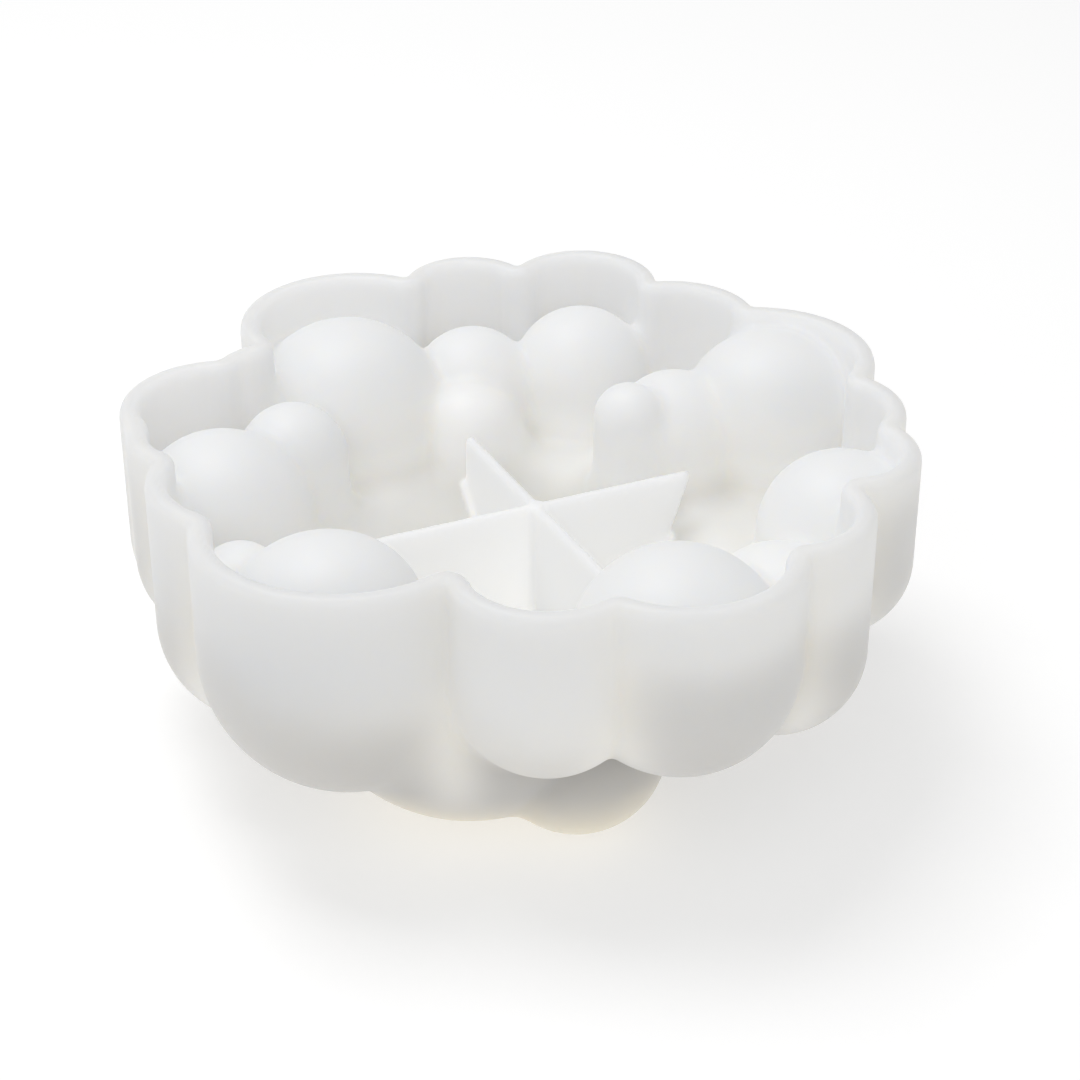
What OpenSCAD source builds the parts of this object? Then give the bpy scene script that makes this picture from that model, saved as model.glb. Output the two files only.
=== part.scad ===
// Silicone resin casting mould, cloud shaped, open at the top.
// A scalloped wall stands on a base of ball-shaped lobes. Rounded cores
// stand on the floor inside, and two thin plates cross in the middle.
// Millimetres, +Z up, origin in the middle of the footprint at the
// resting plane.

/* [Body] */
// Height of the rim above the surface the mould stands on
rim_h = 49; // [48:0.5:54]
// Thickness of the scalloped wall
wall_t = 3; // [2.4:0.1:3.6]
// Height of the floor inside
floor_h = 28; // [27:0.5:29]
// Height where the upright wall begins and the ball-shaped base ends
seam_h = 35; // [34.5:0.5:38]
// Height of the flat plane that the foot lobes hang from
foot_h = 6; // [4:0.5:7]
// Depth of the flat cut under each foot lobe
foot_flat = 0.4; // [0.2:0.1:0.8]

/* [Centre] */
// Radius of the ball that dishes the floor in the middle
well_r = 31.5; // [30:0.5:34]
// Radius of the dish where it meets the floor
well_mouth = 24; // [22:0.5:25]
// Height of the top edge of the crossed plates
fin_top = 36; // [34:0.5:37]
// Thickness of the crossed plates
fin_t = 1.4; // [1:0.1:2]
// Half length of the long plate at its top edge
fin_long = 24; // [22:0.5:24.5]
// Half length of the short plate
fin_short = 22.5; // [20:0.5:22.5]
// How far the ends of the long plate lean in for each mm of depth
fin_lean = 0.33; // [0.2:0.01:0.4]
// Turn of the long plate about the vertical, in degrees
fin_turn = 24; // [20:1:28]

/* [Hidden] */
$fn = 72;
eps = 0.01;
// where the two plates cross
cross_x = 3;
cross_y = -4;
// big ball that fills the middle of the base between the lobes
belly_r = 42.5;
belly_z = 48.2;
well_z = floor_h + sqrt(well_r * well_r - well_mouth * well_mouth);

// Outer lobes in order round the rim, anticlockwise from the right:
// x, y, radius, height of the widest part of the ball below
lobes = [
    [ 44.0, -11.0, 11.0, 32.0],
    [ 43.0,   1.5, 11.5, 32.0],
    [ 36.0,  18.0, 16.0, 32.5],
    [ 23.5,  31.0, 12.5, 32.0],
    [ 10.0,  43.5, 11.5, 33.0],
    [ -7.5,  42.5, 10.0, 33.0],
    [-24.5,  30.0, 16.5, 31.5],
    [-34.0,  12.5,  9.5, 30.0],
    [-41.5,   2.5, 13.5, 28.5],
    [-41.0,  -4.6, 12.2, 29.0],
    [-33.7, -18.0, 15.0, 27.0],
    [-21.5, -31.0, 20.0, 31.0],
    [  4.5, -42.0, 13.0, 32.5],
    [ 21.5, -38.0, 16.0, 33.5],
    [ 34.8, -27.0, 12.4, 28.0]
];
n = len(lobes);

// Low ball lobes under the middle: x, y, radius. Each rests on a small flat.
feet = [
    [ -6.0, -20.5, 24.5],
    [  8.5, -27.5, 12.5],
    [ 22.0,   5.5, 20.0],
    [  0.0,  24.5, 18.0],
    [-22.0,   7.5, 17.0]
];

// Rounded cores on the floor: x, y, radius, height of the top
cores = [
    [-25.5,  29.5, 15.2, 47.5],
    [ -6.7,  36.0,  9.5, 43.5],
    [ -6.9,  26.3,  7.6, 39.3],
    [  9.8,  39.5, 10.5, 45.2],
    [ 23.4,  20.2,  9.3, 44.0],
    [ 39.2,  24.5, 11.3, 47.5],
    [ 44.8, -10.6, 11.6, 47.0],
    [ 35.0, -26.5, 10.5, 41.8],
    [ 21.3, -37.4, 14.3, 47.5],
    [-22.2, -32.4, 11.2, 46.2],
    [-36.0, -25.5,  6.0, 41.9],
    [-40.7,  -4.5, 12.8, 46.7],
    [-31.6,   6.1,  7.8, 46.0],
    // second ball of the long core at the back right
    [ 36.2,  24.6, 11.4, 47.2],
    [ 16.4,  14.3,  5.1, 45.3],
    // second ball of the long core at the front left
    [-26.4, -32.4, 11.2, 45.6]
];

function dist(a, b) = sqrt(pow(a[0] - b[0], 2) + pow(a[1] - b[1], 2));
// outer crossing point of two neighbouring lobe circles
function crossing(a, b) =
    let (d = dist(a, b),
         k = (a[2] * a[2] - b[2] * b[2] + d * d) / (2 * d),
         h = sqrt(max(0, a[2] * a[2] - k * k)),
         ux = (b[0] - a[0]) / d, uy = (b[1] - a[1]) / d)
    [a[0] + k * ux + h * uy, a[1] + k * uy - h * ux];
function notch(i) = crossing(lobes[i], lobes[(i + 1) % n]);
// point on the chord of two neighbouring lobes, a little inside their crossing
function inside(i) =
    let (p = notch(i), a = lobes[i], b = lobes[(i + 1) % n],
         m = [(a[0] + b[0]) / 2, (a[1] + b[1]) / 2],
         d = dist(p, m))
    [p[0] + (m[0] - p[0]) * 1.5 / d, p[1] + (m[1] - p[1]) * 1.5 / d];
// outline through every lobe centre and the points inside every crossing
star = [for (i = [0 : n - 1]) for (j = [0, 1])
    j == 0 ? [lobes[i][0], lobes[i][1]] : inside(i)];

module outer_outline() {
    polygon([for (l = lobes) [l[0], l[1]]]);
    for (l = lobes) translate([l[0], l[1]]) circle(l[2]);
}

module inner_outline() {
    difference() {
        union() {
            polygon(star);
            for (l = lobes) translate([l[0], l[1]]) circle(l[2] - wall_t);
        }
        for (i = [0 : n - 1]) translate(notch(i)) circle(wall_t * 1.06);
    }
}

// upright column of radius r that ends in a ball below, up to height top
module lobe_body(l, top) {
    translate([l[0], l[1], 0])
        rotate_extrude()
            intersection() {
                union() {
                    translate([0, l[3]]) circle(l[2]);
                    translate([0, l[3]]) square([l[2], top - l[3]]);
                }
                square([l[2] + 1, top]);
            }
}

// column of radius r from z0 that ends in a ball at height top
module core_body(c, z0) {
    translate([c[0], c[1], 0])
        rotate_extrude()
            intersection() {
                union() {
                    translate([0, c[3] - c[2]]) circle(c[2]);
                    translate([0, z0]) square([c[2], c[3] - c[2] - z0]);
                }
                translate([0, z0]) square([c[2] + 1, c[3]]);
            }
}

module foot_ball(f) {
    translate([f[0], f[1], f[2] - foot_flat]) sphere(f[2]);
}

module well_ball() {
    translate([cross_x, cross_y, well_z]) sphere(well_r);
}

// everything under the floor and its dish
module under_floor() {
    difference() {
        translate([-60, -60, 0]) cube([120, 120, floor_h]);
        well_ball();
    }
}

module cavity(z0, z1) {
    translate([0, 0, z0]) linear_extrude(z1 - z0) inner_outline();
}

module rim_wall() {
    color([0.89, 0.89, 0.89])
    translate([0, 0, seam_h]) linear_extrude(rim_h - seam_h) difference() {
        outer_outline();
        inner_outline();
    }
}

module lobed_base() {
    color([0.84, 0.82, 0.78])
    difference() {
        intersection() {
            union() {
                for (l = lobes) lobe_body(l, seam_h);
                translate([0, 0, belly_z]) sphere(belly_r);
                for (f = feet) foot_ball(f);
            }
            translate([-60, -60, foot_h]) cube([120, 120, seam_h - foot_h]);
        }
        cavity(floor_h, seam_h + 1);
        well_ball();
    }
}

module foot(k) {
    color([0.80, 0.77, 0.71])
    difference() {
        intersection() {
            foot_ball(feet[k]);
            translate([-60, -60, 0]) cube([120, 120, foot_h]);
        }
        if (k > 0) for (j = [0 : k - 1]) foot_ball(feet[j]);
    }
}
module foot_front_left()  { foot(0); }
module foot_front()       { foot(1); }
module foot_right()       { foot(2); }
module foot_back()        { foot(3); }
module foot_left()        { foot(4); }

// core made of the balls listed in own, cut by the wall, the floor and the
// balls listed in over
module core(own, over) {
    color([0.92, 0.93, 0.93])
    difference() {
        intersection() {
            for (k = own) core_body(cores[k], 12);
            cavity(12, rim_h);
        }
        under_floor();
        for (j = over) core_body(cores[j], 11);
    }
}
module core_back_left()    { core([0], []); }
module core_back()         { core([1], [0, 3]); }
module core_back_inner()   { core([2], [0, 1]); }
module core_back_right()   { core([3], []); }
module core_right_inner()  { core([4], [5, 13]); }
module core_right_small()  { core([14], [4]); }
module core_right_back()   { core([5, 13], []); }
module core_right()        { core([6], []); }
module core_right_front()  { core([7], [6, 8]); }
module core_front_right()  { core([8], []); }
module core_front_left()   { core([9, 15], []); }
module core_left_front()   { core([10], [9, 15, 11]); }
module core_left()         { core([11], []); }
module core_left_back()    { core([12], [11]); }

// upright plate along x before turning, its ends leaning in by lean per mm
module plate(r, lean, turn) {
    d = 24;
    translate([cross_x, cross_y, fin_top]) rotate([0, 0, turn])
        rotate([90, 0, 0]) translate([0, 0, -fin_t / 2])
            linear_extrude(fin_t)
                polygon([[-r, 0], [r, 0], [r - lean * d, -d], [-r + lean * d, -d]]);
}
module fin_across() {
    color([0.95, 0.95, 0.93])
    difference() {
        plate(fin_long, fin_lean, fin_turn);
        under_floor();
    }
}
module half_short(side) {
    color([0.95, 0.95, 0.93])
    difference() {
        plate(fin_short, 0, fin_turn + 92);
        under_floor();
        translate([cross_x, cross_y, 0]) rotate([0, 0, fin_turn])
            translate([-40, side > 0 ? -80 + fin_t / 2 : -fin_t / 2, 0])
                cube([80, 80, rim_h]);
    }
}
module fin_back()  { half_short(1); }
module fin_front() { half_short(-1); }

rim_wall();
lobed_base();
foot_front_left();
foot_front();
foot_right();
foot_back();
foot_left();
core_back_left();
core_back();
core_back_inner();
core_back_right();
core_right_inner();
core_right_small();
core_right_back();
core_right();
core_right_front();
core_front_right();
core_front_left();
core_left_front();
core_left();
core_left_back();
fin_across();
fin_back();
fin_front();
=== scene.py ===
import bpy, math
import numpy as np
from mathutils import Vector, Matrix


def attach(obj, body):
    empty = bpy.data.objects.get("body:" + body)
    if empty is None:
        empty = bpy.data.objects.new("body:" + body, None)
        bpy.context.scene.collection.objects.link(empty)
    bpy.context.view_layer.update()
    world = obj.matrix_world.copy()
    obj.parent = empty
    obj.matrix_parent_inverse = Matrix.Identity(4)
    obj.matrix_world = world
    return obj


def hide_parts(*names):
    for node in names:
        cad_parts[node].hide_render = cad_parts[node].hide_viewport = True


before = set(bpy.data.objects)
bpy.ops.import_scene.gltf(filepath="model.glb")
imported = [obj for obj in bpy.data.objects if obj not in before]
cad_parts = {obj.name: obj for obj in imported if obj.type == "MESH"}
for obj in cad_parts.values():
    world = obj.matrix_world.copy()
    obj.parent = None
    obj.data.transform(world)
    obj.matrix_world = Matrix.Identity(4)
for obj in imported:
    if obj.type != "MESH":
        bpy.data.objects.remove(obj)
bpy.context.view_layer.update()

STEP = 0.55           # grid step in millimetres

# ---------------------------------------------------------------------------
# the mould's own dimensions, millimetres, in the CAD frame
# ---------------------------------------------------------------------------
RIM_H = 49.0
WALL_T = 3.0
FLOOR_H = 28.0
CROSS = (3.0, -4.0)
WELL_R = 31.5
FIN_TOP = 36.0
FIN_T = 1.4
TURN = math.radians(24.0)
WELL_Z = FLOOR_H + math.sqrt(WELL_R ** 2 - 24.0 ** 2)

LOBES = np.array([
    (44.0, -11.0, 11.0, 32.0), (43.0, 1.5, 11.5, 32.0), (36.0, 18.0, 16.0, 32.5),
    (23.5, 31.0, 12.5, 32.0), (10.0, 43.5, 11.5, 33.0), (-7.5, 42.5, 10.0, 33.0),
    (-24.5, 30.0, 16.5, 31.5), (-34.0, 12.5, 9.5, 30.0), (-41.5, 2.5, 13.5, 28.5),
    (-41.0, -4.6, 12.2, 29.0), (-33.7, -18.0, 15.0, 27.0), (-21.5, -31.0, 20.0, 31.0),
    (4.5, -42.0, 13.0, 32.5), (21.5, -38.0, 16.0, 33.5), (34.8, -27.0, 12.4, 28.0)])
FEET = [(-6.0, -20.5, 24.5), (8.5, -27.5, 12.5), (22.0, 5.5, 20.0), (0.0, 24.5, 18.0), (-22.0, 7.5, 17.0)]
# every core is a list of balls on columns: x, y, radius, height of the top
CORES = [
    [(-25.5, 29.5, 15.2, 47.5)], [(-6.7, 36.0, 9.5, 43.5)], [(-6.9, 26.3, 7.6, 39.3)],
    [(9.8, 39.5, 10.5, 45.2)], [(23.4, 20.2, 9.3, 44.0)],
    [(39.2, 24.5, 11.3, 47.5), (36.2, 24.6, 11.4, 47.2)],
    [(44.8, -10.6, 11.6, 47.0)], [(35.0, -26.5, 10.5, 41.8)], [(21.3, -37.4, 14.3, 47.5)],
    [(-22.2, -32.4, 11.2, 46.2), (-26.4, -32.4, 11.2, 45.6)], [(-36.0, -25.5, 6.0, 41.9)],
    [(-40.7, -4.5, 12.8, 46.7)],
    [(-31.6, 6.1, 7.8, 46.0)], [(16.4, 14.3, 5.1, 45.3)]]


def crossing(a, b):
    d = math.hypot(a[0] - b[0], a[1] - b[1])
    k = (a[2] ** 2 - b[2] ** 2 + d * d) / (2 * d)
    h = math.sqrt(max(0.0, a[2] ** 2 - k * k))
    ux, uy = (b[0] - a[0]) / d, (b[1] - a[1]) / d
    return a[0] + k * ux + h * uy, a[1] + k * uy - h * ux


NOTCH = [crossing(LOBES[i], LOBES[(i + 1) % len(LOBES)]) for i in range(len(LOBES))]
STAR = []
for i in range(len(LOBES)):
    STAR += [(LOBES[i][0], LOBES[i][1]), NOTCH[i]]


# ---------------------------------------------------------------------------
# signed distances, negative inside
# ---------------------------------------------------------------------------
def smin(a, b, k):
    h = np.clip(0.5 + 0.5 * (b - a) / k, 0.0, 1.0)
    return b + (a - b) * h - k * h * (1.0 - h)


def smax(a, b, k):
    return -smin(-a, -b, k)


def polygon_sd(x, y, pts):
    d = np.full(x.shape, 1e9)
    s = np.ones(x.shape)
    j = len(pts) - 1
    for i in range(len(pts)):
        xi, yi = pts[i]
        xj, yj = pts[j]
        ex, ey = xj - xi, yj - yi
        wx, wy = x - xi, y - yi
        t = np.clip((wx * ex + wy * ey) / (ex * ex + ey * ey), 0, 1)
        d = np.minimum(d, (wx - ex * t) ** 2 + (wy - ey * t) ** 2)
        c1, c2, c3 = y >= yi, y < yj, ex * wy > ey * wx
        s = np.where((c1 & c2 & c3) | (~c1 & ~c2 & ~c3), -s, s)
        j = i
    return s * np.sqrt(d)


def outline_terms(x, y):
    """Radial distances to every lobe axis and the outline of the hollow, per column."""
    rad = [np.hypot(x - l[0], y - l[1]) for l in LOBES]
    inner = np.minimum(np.minimum.reduce([r - (l[2] - WALL_T) for r, l in zip(rad, LOBES)]),
                       polygon_sd(x, y, STAR))
    ridge = np.maximum.reduce([WALL_T - np.hypot(x - n[0], y - n[1]) for n in NOTCH])
    hollow = smax(inner, ridge, 0.5)
    centre = polygon_sd(x, y, [(l[0], l[1]) for l in LOBES])
    return rad, hollow, centre


def plate_sd(x, y, z, turn, r_lo, r_hi, lean):
    """Upright plate through the crossing, from -r_lo to r_hi along its length."""
    ca, sa = math.cos(turn), math.sin(turn)
    a = ca * (x - CROSS[0]) + sa * (y - CROSS[1])
    b = -sa * (x - CROSS[0]) + ca * (y - CROSS[1])
    d = z - FIN_TOP
    slope = math.hypot(1.0, lean)
    ends = np.maximum((a - r_hi - lean * d) / slope, (-a - r_lo - lean * d) / slope)
    flat = smax(smax(ends, d, 0.5), np.abs(b) - FIN_T / 2, 0.5)
    return np.maximum(flat, 16.0 - z)


def plates_sd(x, y, z):
    return smin(plate_sd(x, y, z, TURN, 24.0, 24.0, 0.33),
                plate_sd(x, y, z, TURN + math.radians(92.0), 22.5, 22.5, 0.0), 0.8)


def body_sd(x, y, z, rad, centre):
    """The outside: ball-bottomed lobes, the belly and the foot balls."""
    body = None
    for r, l in zip(rad, LOBES):
        b = np.where(z > l[3], r, np.hypot(r, z - l[3])) - l[2]
        body = b if body is None else smin(body, b, 1.3)
    body = np.minimum(body, np.maximum(centre, 33.0 - z))
    low = smax(np.sqrt(x * x + y * y + (z - 48.2) ** 2) - 42.5, z - 35.0, 0.6)
    for f in FEET:
        low = smin(low, np.sqrt((x - f[0]) ** 2 + (y - f[1]) ** 2 + (z - f[2] + 0.4) ** 2) - f[2], 1.6)
    return smin(body, low, 3.0)


def ground_sd(x, y, z):
    """The floor of the hollow with its dished middle."""
    well = np.sqrt((x - CROSS[0]) ** 2 + (y - CROSS[1]) ** 2 + (z - WELL_Z) ** 2) - WELL_R
    return smax(z - FLOOR_H, -well, 3.0)


def mould_sd(x, y, z, terms=None):
    rad, hollow, centre = terms if terms is not None else outline_terms(x, y)
    body = body_sd(x, y, z, rad, centre)
    # inside: the wall, the dished floor and the rounded cores, with wide
    # fillets at the floor and narrow ones between the upright faces
    wall = -hollow
    ground = ground_sd(x, y, z)
    cores = None
    for balls in CORES:
        core = None
        for c in balls:
            r = np.hypot(x - c[0], y - c[1])
            zc = c[3] - c[2]
            k = np.where(z > zc, np.hypot(r, z - zc), r) - c[2]
            core = k if core is None else smin(core, k, 4.0)
        cores = core if cores is None else smin(cores, core, 1.8)
    solid = smin(smin(wall, ground, 5.0), smin(cores, ground, 7.0), 2.2)
    solid = smin(solid, plates_sd(x, y, z), 1.2)
    solid = np.maximum(solid, body)
    solid = smax(solid, z - RIM_H - 0.2, 2.0)
    return smax(solid, -z, 0.3)


# ---------------------------------------------------------------------------
# surface nets on a regular grid, then each point is pulled onto the surface
# ---------------------------------------------------------------------------
def surface_net(v, origin, h):
    inside = v < 0
    nx, ny, nz = v.shape
    cells = np.zeros((nx - 1, ny - 1, nz - 1), np.uint8)
    for dx in (0, 1):
        for dy in (0, 1):
            for dz in (0, 1):
                cells += inside[dx:nx - 1 + dx, dy:ny - 1 + dy, dz:nz - 1 + dz]
    act = np.nonzero((cells > 0) & (cells < 8))
    n = len(act[0])
    index = np.full(cells.shape, -1, np.int64)
    index[act] = np.arange(n)
    acc = np.zeros((n, 3))
    cnt = np.zeros(n)
    ci, cj, ck = act
    for axis in range(3):
        o1, o2 = [a for a in range(3) if a != axis]
        for a in (0, 1):
            for b in (0, 1):
                off = [0, 0, 0]
                off[o1], off[o2] = a, b
                p = (ci + off[0], cj + off[1], ck + off[2])
                off2 = list(off)
                off2[axis] = 1
                q = (ci + off2[0], cj + off2[1], ck + off2[2])
                va, vb = v[p], v[q]
                m = (va < 0) != (vb < 0)
                t = np.where(m, va / np.where(m, va - vb, 1.0), 0.0)
                pos = np.stack([np.full(n, float(c)) for c in off], 1)
                pos[:, axis] = t
                acc[m] += pos[m]
                cnt += m
    pts = origin + h * (np.stack(act, 1) + acc / cnt[:, None])
    quads = []
    for axis in range(3):
        o1, o2 = [(1, 2), (2, 0), (0, 1)][axis]
        sl0 = [slice(1, -1)] * 3
        sl1 = [slice(1, -1)] * 3
        sl0[axis] = slice(0, v.shape[axis] - 1)
        sl1[axis] = slice(1, v.shape[axis])
        a, b = inside[tuple(sl0)], inside[tuple(sl1)]
        for flip in (False, True):
            w = np.nonzero((a & ~b) if not flip else (~a & b))
            w = [w[i] + (0 if i == axis else 1) for i in range(3)]

            def cell(d1, d2):
                c = [w[0].copy(), w[1].copy(), w[2].copy()]
                c[o1] -= d1
                c[o2] -= d2
                return index[tuple(c)]
            q = [cell(1, 1), cell(0, 1), cell(0, 0), cell(1, 0)]
            if flip:
                q = q[::-1]
            quads.append(np.stack(q, 1))
    return pts, np.concatenate(quads)


def pull(pts, sd, h, rounds=3):
    e = 0.02
    for _ in range(rounds):
        x, y, z = pts.T
        d = sd(x, y, z)
        g = np.stack([sd(x + e, y, z) - sd(x - e, y, z), sd(x, y + e, z) - sd(x, y - e, z),
                      sd(x, y, z + e) - sd(x, y, z - e)], 1) / (2 * e)
        l2 = np.maximum((g * g).sum(1), 0.05)
        step = -g * (d / l2)[:, None]
        ln = np.linalg.norm(step, axis=1)
        step *= np.minimum(1.0, 0.4 * h / np.maximum(ln, 1e-9))[:, None]
        pts = pts + step
    return pts


def make_mesh(name, pts, quads):
    me = bpy.data.meshes.new(name)
    co = (pts / 1000.0).astype(np.float32)
    me.vertices.add(len(co))
    me.vertices.foreach_set("co", co.ravel())
    me.loops.add(quads.size)
    me.loops.foreach_set("vertex_index", quads.astype(np.int32).ravel())
    me.polygons.add(len(quads))
    me.polygons.foreach_set("loop_start", np.arange(0, quads.size, 4, dtype=np.int32))
    me.polygons.foreach_set("loop_total", np.full(len(quads), 4, np.int32))
    me.polygons.foreach_set("use_smooth", np.ones(len(quads), bool))
    me.update(calc_edges=True)
    me.validate()
    ob = bpy.data.objects.new(name, me)
    bpy.context.scene.collection.objects.link(ob)
    return ob


def build_mould():
    h = STEP
    lo = np.array([-55.0, -55.0, 0.0]) - 2.37 * h
    n = np.ceil((np.array([55.0, 55.0, RIM_H]) + 2.5 * h - lo) / h).astype(int) + 1
    xs, ys, zs = [lo[a] + h * np.arange(n[a]) for a in range(3)]
    X, Y = np.meshgrid(xs, ys, indexing="ij")
    rad, hollow, centre = outline_terms(X, Y)
    terms = ([r[:, :, None] for r in rad], hollow[:, :, None], centre[:, :, None])
    v = np.empty(tuple(n))
    for k0 in range(0, n[2], 12):
        Z = zs[None, None, k0:k0 + 12]
        v[:, :, k0:k0 + 12] = mould_sd(X[:, :, None], Y[:, :, None], Z, terms)
    pts, quads = surface_net(v, lo, h)
    pts = pull(pts, mould_sd, h)
    pts[:, 2] = np.clip(pts[:, 2], 0.0, RIM_H)
    ob = make_mesh("mould_body", pts, quads)
    # thin: mask for painted light, the material paints thin silicone lighter as if light shone through
    thin = thinness(pts, quads)
    x, y, z = pts.T
    hollow = outline_terms(x, y)[1]
    # inner: the hollow's surfaces; the material paints them lighter and the outside darker (painted light and shade)
    inner = np.clip((1.2 - hollow) / 1.0, 0.0, 1.0) * np.clip((ground_sd(x, y, z) + 1.0) / 0.8, 0.0, 1.0)
    # crease: a painted light band down the outer creases between the lobes
    crease = np.minimum.reduce([np.hypot(x - n[0], y - n[1]) for n in NOTCH])
    crease = np.exp(-(crease / 4.5) ** 2)
    # plate: the thin plates, painted lighter and given a painted glow
    plate = np.clip((0.9 - plates_sd(x, y, z)) / 0.7, 0.0, 1.0)
    for label, value in (("thin", thin), ("inner", inner), ("crease", crease), ("plate", plate)):
        at = ob.data.attributes.new(label, "FLOAT", "POINT")
        at.data.foreach_set("value", value.astype(np.float32))
    return ob


def thinness(pts, quads):
    """1 where the silicone behind a point is thin, 0 where it is thick, per point; the material paints light through
    thin parts from it.
    """
    e = 0.05
    x, y, z = pts.T
    g = np.stack([mould_sd(x + e, y, z) - mould_sd(x - e, y, z),
                  mould_sd(x, y + e, z) - mould_sd(x, y - e, z),
                  mould_sd(x, y, z + e) - mould_sd(x, y, z - e)], 1)
    n = -g / np.maximum(np.linalg.norm(g, axis=1), 1e-9)[:, None]
    ref = np.where(np.abs(n[:, 2:3]) < 0.9, [[0.0, 0.0, 1.0]], [[1.0, 0.0, 0.0]])
    t1 = np.cross(n, ref)
    t1 /= np.linalg.norm(t1, axis=1)[:, None]
    t2 = np.cross(n, t1)
    total = np.zeros(len(pts))
    ways = [n, n + 0.7 * t1, n - 0.7 * t1, n + 0.7 * t2, n - 0.7 * t2]
    for d in ways:
        d = d / np.linalg.norm(d, axis=1)[:, None]
        through = np.zeros(len(pts))
        todo = np.ones(len(pts), bool)
        for t in (2.2, 3.6, 5.2, 7.2, 9.6, 12.5):
            q = pts[todo] + d[todo] * t
            out = mould_sd(q[:, 0], q[:, 1], q[:, 2]) > 0.25
            idx = np.nonzero(todo)[0][out]
            through[idx] = math.exp(-(t - 2.2) / 5.0)
            todo[idx] = False
        total += through
    total /= len(ways)
    # spread like scattered light along the surface
    for _ in range(int(round((2.6 / STEP) ** 2))):
        acc = total.copy()
        cnt = np.ones(len(pts))
        for k in range(4):
            a, b = quads[:, k], quads[:, (k + 1) % 4]
            acc += np.bincount(a, total[b], len(pts))
            cnt += np.bincount(a, minlength=len(pts))
        total = acc / cnt
    return np.clip(total, 0.0, 1.0)


# ---------------------------------------------------------------------------
# materials
# ---------------------------------------------------------------------------
def silicone(name, inside, outside, rough, scatter, glow=0.0):
    """Milky silicone with painted light and shade, in lit and shaded copies of one colour.
    inside (lighter, painted light): colours of the floor (painted shade), the sides and tops of the cores
    (sides painted lighter than tops), the thin wall and the thin plates in the hollow (painted light shining through).
    outside (darker, painted shade): colours at the ground (painted warm bounce light), at half height
    (painted shade), of thick and thin upper parts (thin ones painted lighter), and in the creases
    between the lobes (a painted light band)."""
    m = bpy.data.materials.new(name)
    m.use_nodes = True
    nt = m.node_tree
    b = nt.nodes["Principled BSDF"]
    b.subsurface_method = "RANDOM_WALK"
    b.inputs["Subsurface Weight"].default_value = 1.0
    b.inputs["Subsurface Radius"].default_value = (1.0, 0.93, 0.80)
    b.inputs["Subsurface Scale"].default_value = scatter
    b.inputs["Subsurface Anisotropy"].default_value = 0.3
    b.inputs["IOR"].default_value = 1.41
    b.inputs["Specular IOR Level"].default_value = 0.35
    tc = nt.nodes.new("ShaderNodeTexCoord")

    def attribute(label):
        at = nt.nodes.new("ShaderNodeAttribute")
        at.attribute_type = "GEOMETRY"
        at.attribute_name = label
        return at.outputs["Fac"]

    def mixed(fac, c0, c1):
        mx = nt.nodes.new("ShaderNodeMix")
        mx.data_type = "RGBA"
        nt.links.new(fac, mx.inputs[0])
        for k, c in ((6, c0), (7, c1)):
            if isinstance(c, tuple):
                mx.inputs[k].default_value = (*c, 1)
            else:
                nt.links.new(c, mx.inputs[k])
        return mx.outputs[2]

    def ramp(source, lo, hi):
        r = nt.nodes.new("ShaderNodeMapRange")
        r.interpolation_type = "SMOOTHSTEP"
        r.inputs["From Min"].default_value = lo
        r.inputs["From Max"].default_value = hi
        nt.links.new(source, r.inputs["Value"])
        return r.outputs["Result"]

    # height with a soft uneven edge, for painted light and shade that change with height
    sep = nt.nodes.new("ShaderNodeSeparateXYZ")
    nt.links.new(tc.outputs["Object"], sep.inputs["Vector"])
    n1 = nt.nodes.new("ShaderNodeTexNoise")
    n1.inputs["Scale"].default_value = 45.0
    n1.inputs["Detail"].default_value = 3.0
    n1.inputs["Roughness"].default_value = 0.5
    nt.links.new(tc.outputs["Object"], n1.inputs["Vector"])
    wob = nt.nodes.new("ShaderNodeMath")
    wob.operation = "MULTIPLY_ADD"
    wob.inputs[1].default_value = 0.006
    nt.links.new(n1.outputs["Fac"], wob.inputs[0])
    nt.links.new(sep.outputs["Z"], wob.inputs[2])
    height = wob.outputs["Value"]
    # painted light: thin parts lighter outside and inside, as if light shone through
    thin = attribute("thin")
    outer = mixed(thin, outside[2], outside[3])
    # outside: a painted shade band at half height and painted warm bounce light at the ground
    outer = mixed(ramp(height, 0.020, 0.042), outside[1], outer)
    outer = mixed(ramp(height, 0.005, 0.017), outside[0], outer)
    # painted light: lighter band in the outer creases
    outer = mixed(attribute("crease"), outer, outside[4])
    # inside: painted shade in the floor pockets, core sides painted lighter than their tops
    inner = mixed(ramp(height, 0.029, 0.036), inside[0], inside[1])
    inner = mixed(ramp(height, 0.040, 0.048), inner, inside[2])
    # painted light through the thin walls of the hollow
    inner = mixed(thin, inner, inside[3])
    # painted light: the thin plates lighter
    plate = attribute("plate")
    inner = mixed(plate, inner, inside[4])
    # painted shade: the outside colours darker than the hollow's, one silicone in shaded and lit copies
    nt.links.new(mixed(attribute("inner"), outer, inner), b.inputs["Base Color"])
    # painted glow: the thin plates get a faint emission that stands in for light passing through them
    nt.links.new(mixed(plate, (0.0, 0.0, 0.0), (1.0, 1.0, 1.0)), b.inputs["Emission Color"])
    b.inputs["Emission Strength"].default_value = glow
    # slightly uneven gloss
    n2 = nt.nodes.new("ShaderNodeTexNoise")
    n2.inputs["Scale"].default_value = 260.0
    n2.inputs["Detail"].default_value = 4.0
    nt.links.new(tc.outputs["Object"], n2.inputs["Vector"])
    r2 = nt.nodes.new("ShaderNodeMapRange")
    r2.inputs["To Min"].default_value = rough - 0.06
    r2.inputs["To Max"].default_value = rough + 0.08
    nt.links.new(n2.outputs["Fac"], r2.inputs["Value"])
    nt.links.new(r2.outputs["Result"], b.inputs["Roughness"])
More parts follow.
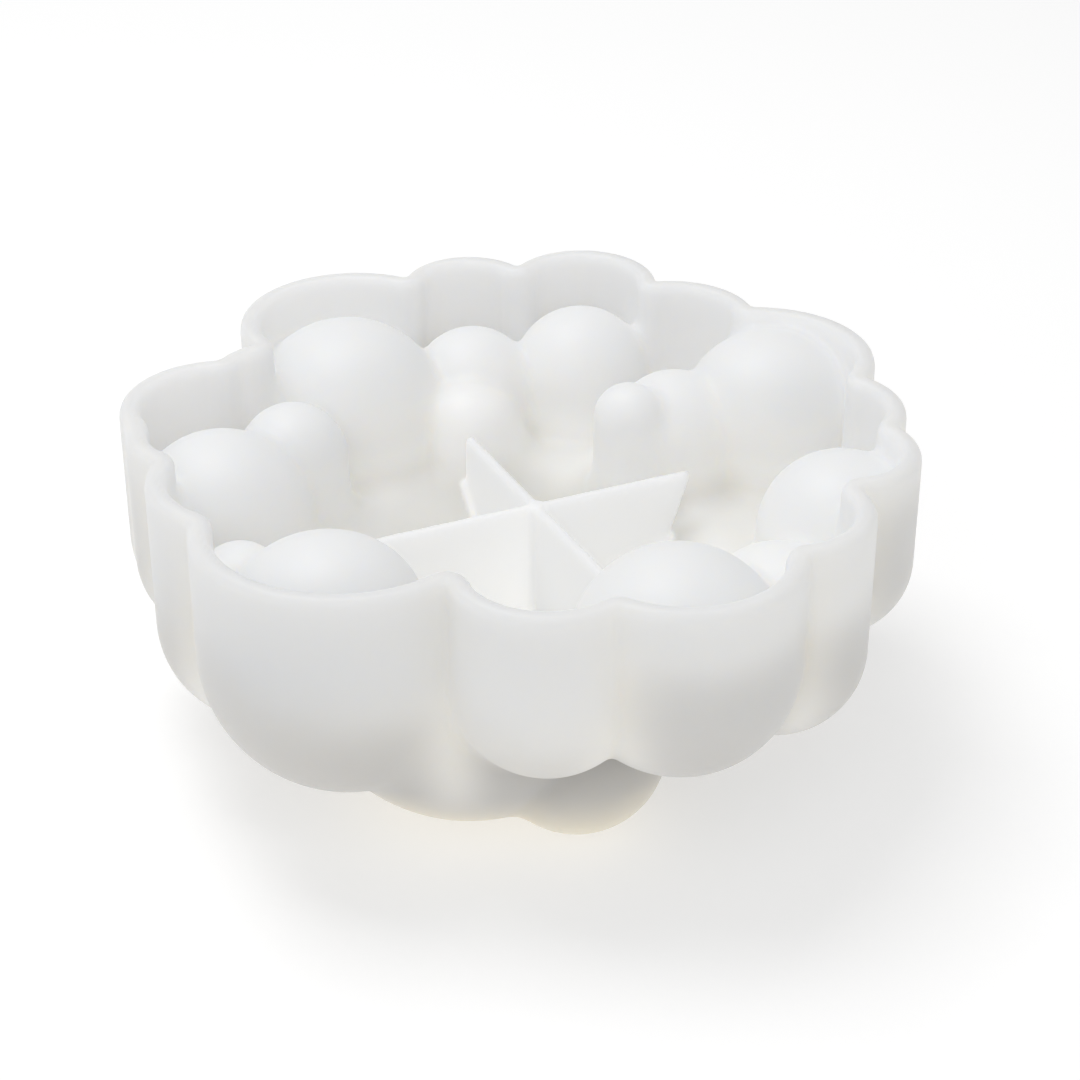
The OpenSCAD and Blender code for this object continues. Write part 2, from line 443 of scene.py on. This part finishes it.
    # faint skin texture left by the master
    n3 = nt.nodes.new("ShaderNodeTexNoise")
    n3.inputs["Scale"].default_value = 900.0
    n3.inputs["Detail"].default_value = 5.0
    nt.links.new(tc.outputs["Object"], n3.inputs["Vector"])
    bump = nt.nodes.new("ShaderNodeBump")
    bump.inputs["Strength"].default_value = 0.12
    bump.inputs["Distance"].default_value = 0.00008
    nt.links.new(n3.outputs["Fac"], bump.inputs["Height"])
    nt.links.new(bump.outputs["Normal"], b.inputs["Normal"])
    return m


# painted light and shade: the inside set is lighter than the outside set, with darker pockets, a dark band at half
# height outside, lighter ground, thin parts, creases and plates, and a faint painted glow on the plates
MAT = silicone("silicone_milky",
               [(0.79, 0.785, 0.76), (0.915, 0.915, 0.91), (0.83, 0.84, 0.85), (0.98, 0.985, 0.985), (0.98, 0.985, 0.985)],
               [(0.86, 0.80, 0.665), (0.56, 0.55, 0.53), (0.69, 0.69, 0.685), (0.80, 0.805, 0.80), (0.81, 0.80, 0.77)],
               0.44, 0.015, 0.09)

# ---------------------------------------------------------------------------
# pieces
# ---------------------------------------------------------------------------
mould = build_mould()
mould.data.materials.append(MAT)
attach(mould, "root")
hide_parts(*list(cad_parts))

# ---------------------------------------------------------------------------
# floor, lights, camera
# ---------------------------------------------------------------------------
me = bpy.data.meshes.new("floor")
me.from_pydata([(-6, -6, -0.0002), (6, -6, -0.0002), (6, 6, -0.0002), (-6, 6, -0.0002)], [], [(0, 1, 2, 3)])
floor = bpy.data.objects.new("floor", me)
bpy.context.scene.collection.objects.link(floor)
fm = bpy.data.materials.new("floor_paint")
fm.use_nodes = True
fb = fm.node_tree.nodes["Principled BSDF"]
fb.inputs["Roughness"].default_value = 0.9
fb.inputs["Specular IOR Level"].default_value = 0.1
fn = fm.node_tree.nodes.new("ShaderNodeTexNoise")
fn.inputs["Scale"].default_value = 3.0
fr = fm.node_tree.nodes.new("ShaderNodeValToRGB")
fr.color_ramp.elements[0].color = (0.61, 0.61, 0.61, 1)
fr.color_ramp.elements[1].color = (0.63, 0.63, 0.63, 1)
# a white light table: the floor glows a little, which keeps the shadow pale
fb.inputs["Emission Color"].default_value = (1.0, 1.0, 1.0, 1)
fb.inputs["Emission Strength"].default_value = 0.46
fm.node_tree.links.new(fn.outputs["Fac"], fr.inputs["Fac"])
fm.node_tree.links.new(fr.outputs["Color"], fb.inputs["Base Color"])
me.materials.append(fm)

sc = bpy.context.scene
world = bpy.data.worlds.new("studio")
sc.world = world
world.use_nodes = True
world.node_tree.nodes["Background"].inputs["Color"].default_value = (1.0, 1.0, 1.0, 1)
world.node_tree.nodes["Background"].inputs["Strength"].default_value = 0.50


def area(name, loc, target, size, watts, colour=(1, 1, 1)):
    d = bpy.data.lights.new(name, "AREA")
    d.shape = "RECTANGLE"
    d.size, d.size_y = size
    d.energy = watts
    d.color = colour
    o = bpy.data.objects.new(name, d)
    o.location = loc
    o.rotation_mode = "QUATERNION"
    o.rotation_quaternion = (Vector(target) - Vector(loc)).to_track_quat("-Z", "Y")
    sc.collection.objects.link(o)
    return o


area("top_soft", (-0.20, 0.11, 0.74), (0, 0, 0.03), (0.38, 0.38), 2.4)
area("front_soft", (-0.12, -0.58, 0.56), (0, 0, 0.03), (0.50, 0.50), 0.75)

# camera: 27 degrees above the rim, close, with a long-ish lens
F_PX = 2500.0
K_MM = 110.0 / 793.0
ELEV = math.radians(27.3)
RIM_UV = (521.5, 407.0)
u = (RIM_UV[0] - 540.0) / F_PX
v = (RIM_UV[1] - 540.0) / F_PX
pitch = ELEV + math.atan(-v)
fw = Vector((0, math.cos(pitch), -math.sin(pitch)))
up = Vector((0, math.sin(pitch), math.cos(pitch)))
rt = Vector((1, 0, 0))
ray = (rt * u - up * v + fw).normalized()
cam_pos = (Vector((1.0, 0.5, 49.0)) - ray * (F_PX * K_MM)) / 1000.0
cd = bpy.data.cameras.new("camera")
cd.sensor_width = 36.0
cd.lens = 36.0 * F_PX / 1080.0
cd.clip_start = 0.01
cd.clip_end = 50
cam = bpy.data.objects.new("camera", cd)
cam.location = cam_pos
cam.rotation_mode = "QUATERNION"
cam.rotation_quaternion = fw.to_track_quat("-Z", "Y")
sc.collection.objects.link(cam)
sc.camera = cam
sc.view_settings.view_transform = "Standard"
sc.view_settings.look = "None"
